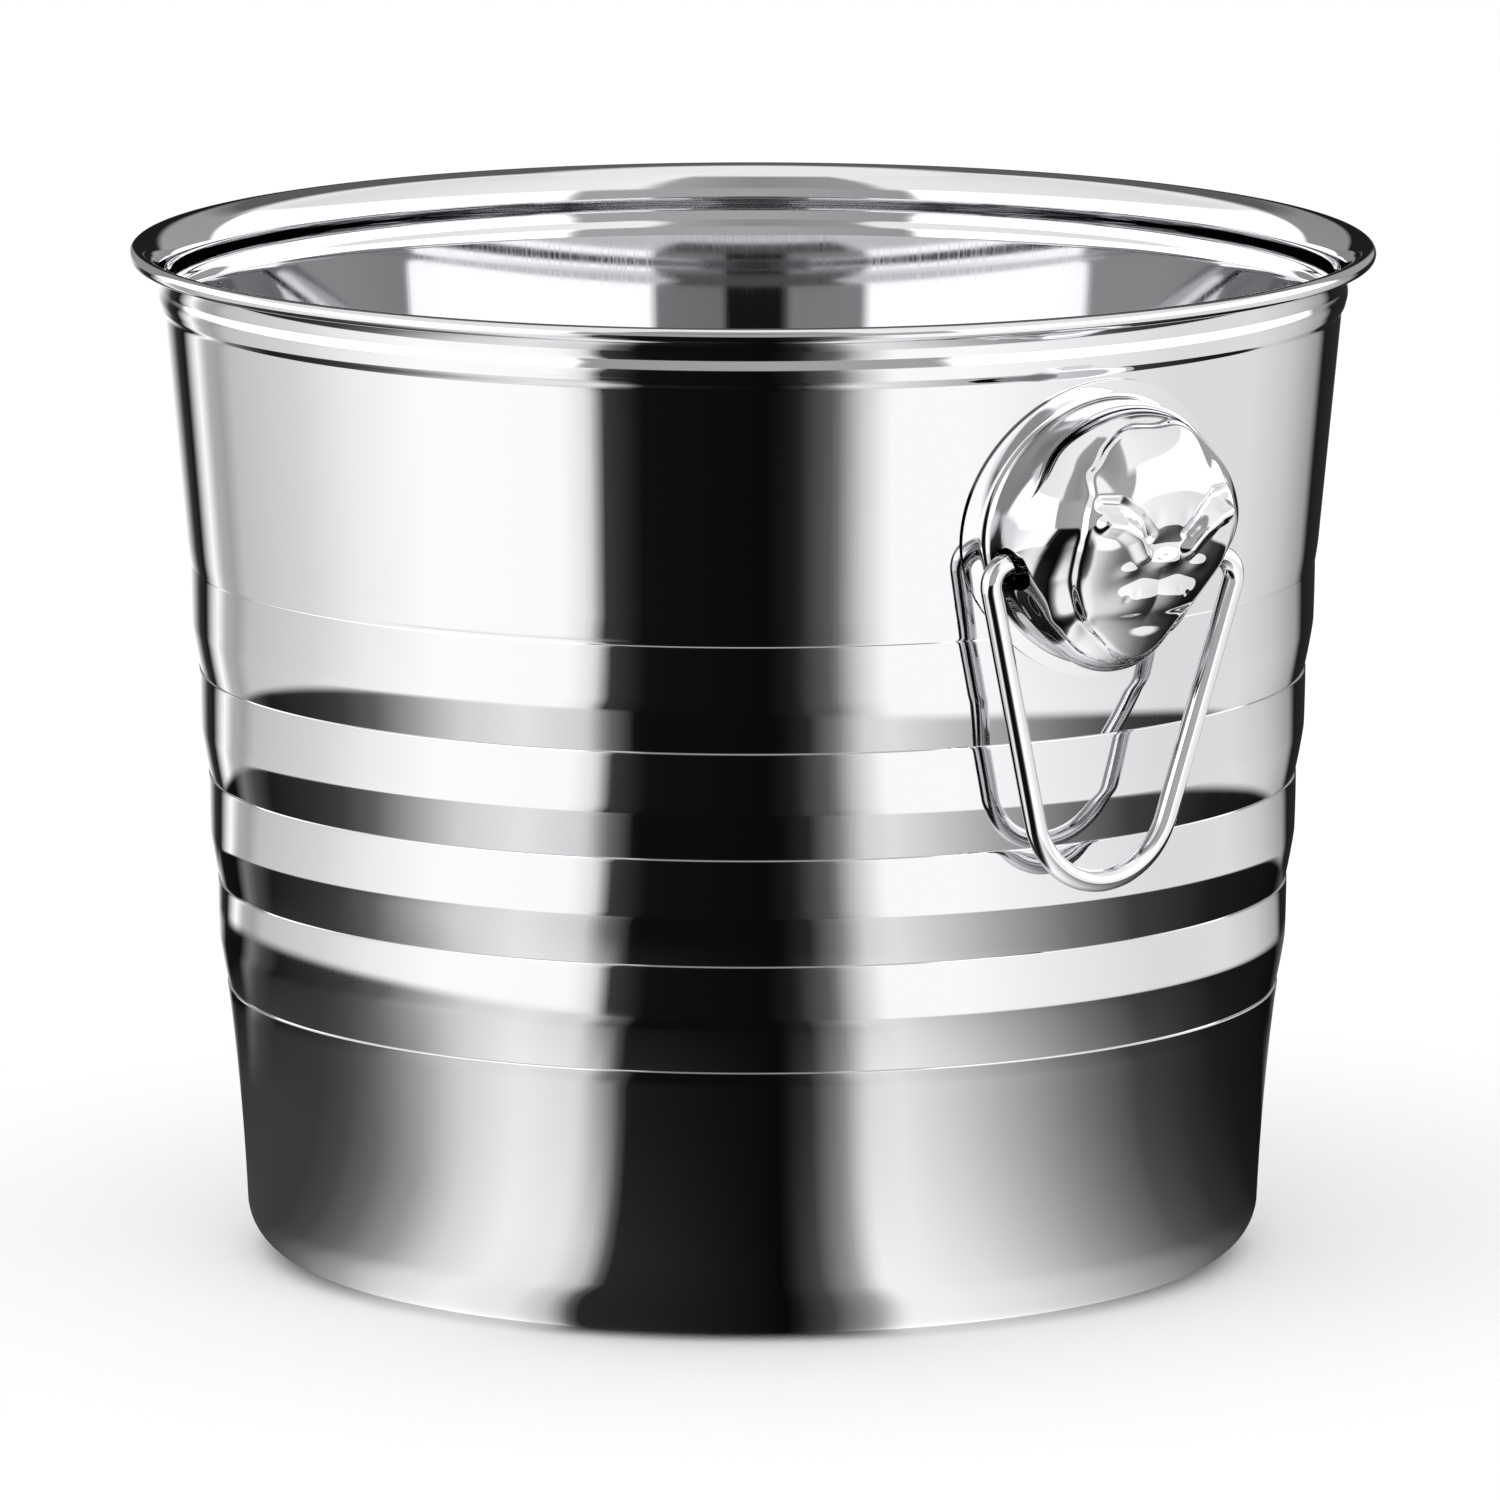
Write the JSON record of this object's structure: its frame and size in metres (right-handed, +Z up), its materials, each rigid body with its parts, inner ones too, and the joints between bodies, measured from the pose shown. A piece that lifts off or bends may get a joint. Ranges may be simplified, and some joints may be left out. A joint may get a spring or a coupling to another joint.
{
  "type": "champagne bucket",
  "caption": "Round tapered steel bucket with a rolled lip, hooped wall, and a hollow animal mask on each side holding a swinging wire ring handle.",
  "frame": {"origin": "centre of the face that the bucket stands on", "axes": "+Z up the bucket's axis to its mouth; the masks and ring handles are on +X and -X"},
  "size_m": [0.269, 0.2304, 0.188],
  "materials": {
    "sheet_steel": "polished stainless sheet with a faint upright grain",
    "pressed_steel": "mirror polished pressing",
    "steel_wire": "mirror polished wire"
  },
  "bodies": {
    "bucket": {"bucket_body": "sheet_steel", "mask_right": "pressed_steel", "mask_left": "pressed_steel"},
    "ring_right": {"ring_handle_right": "steel_wire"},
    "ring_left": {"ring_handle_left": "steel_wire"}
  },
  "joints": [
    {"name": "ring_right_swing", "type": "hinge", "parent": "bucket", "child": "ring_right", "pos_m": [0.11024, 0, 0.1427], "axis": [0, -1, 0], "range_deg": [-7, 170]},
    {"name": "ring_left_swing", "type": "hinge", "parent": "bucket", "child": "ring_left", "pos_m": [-0.11024, 0, 0.1427], "axis": [0, 1, 0], "range_deg": [-7, 170]}
  ]
}
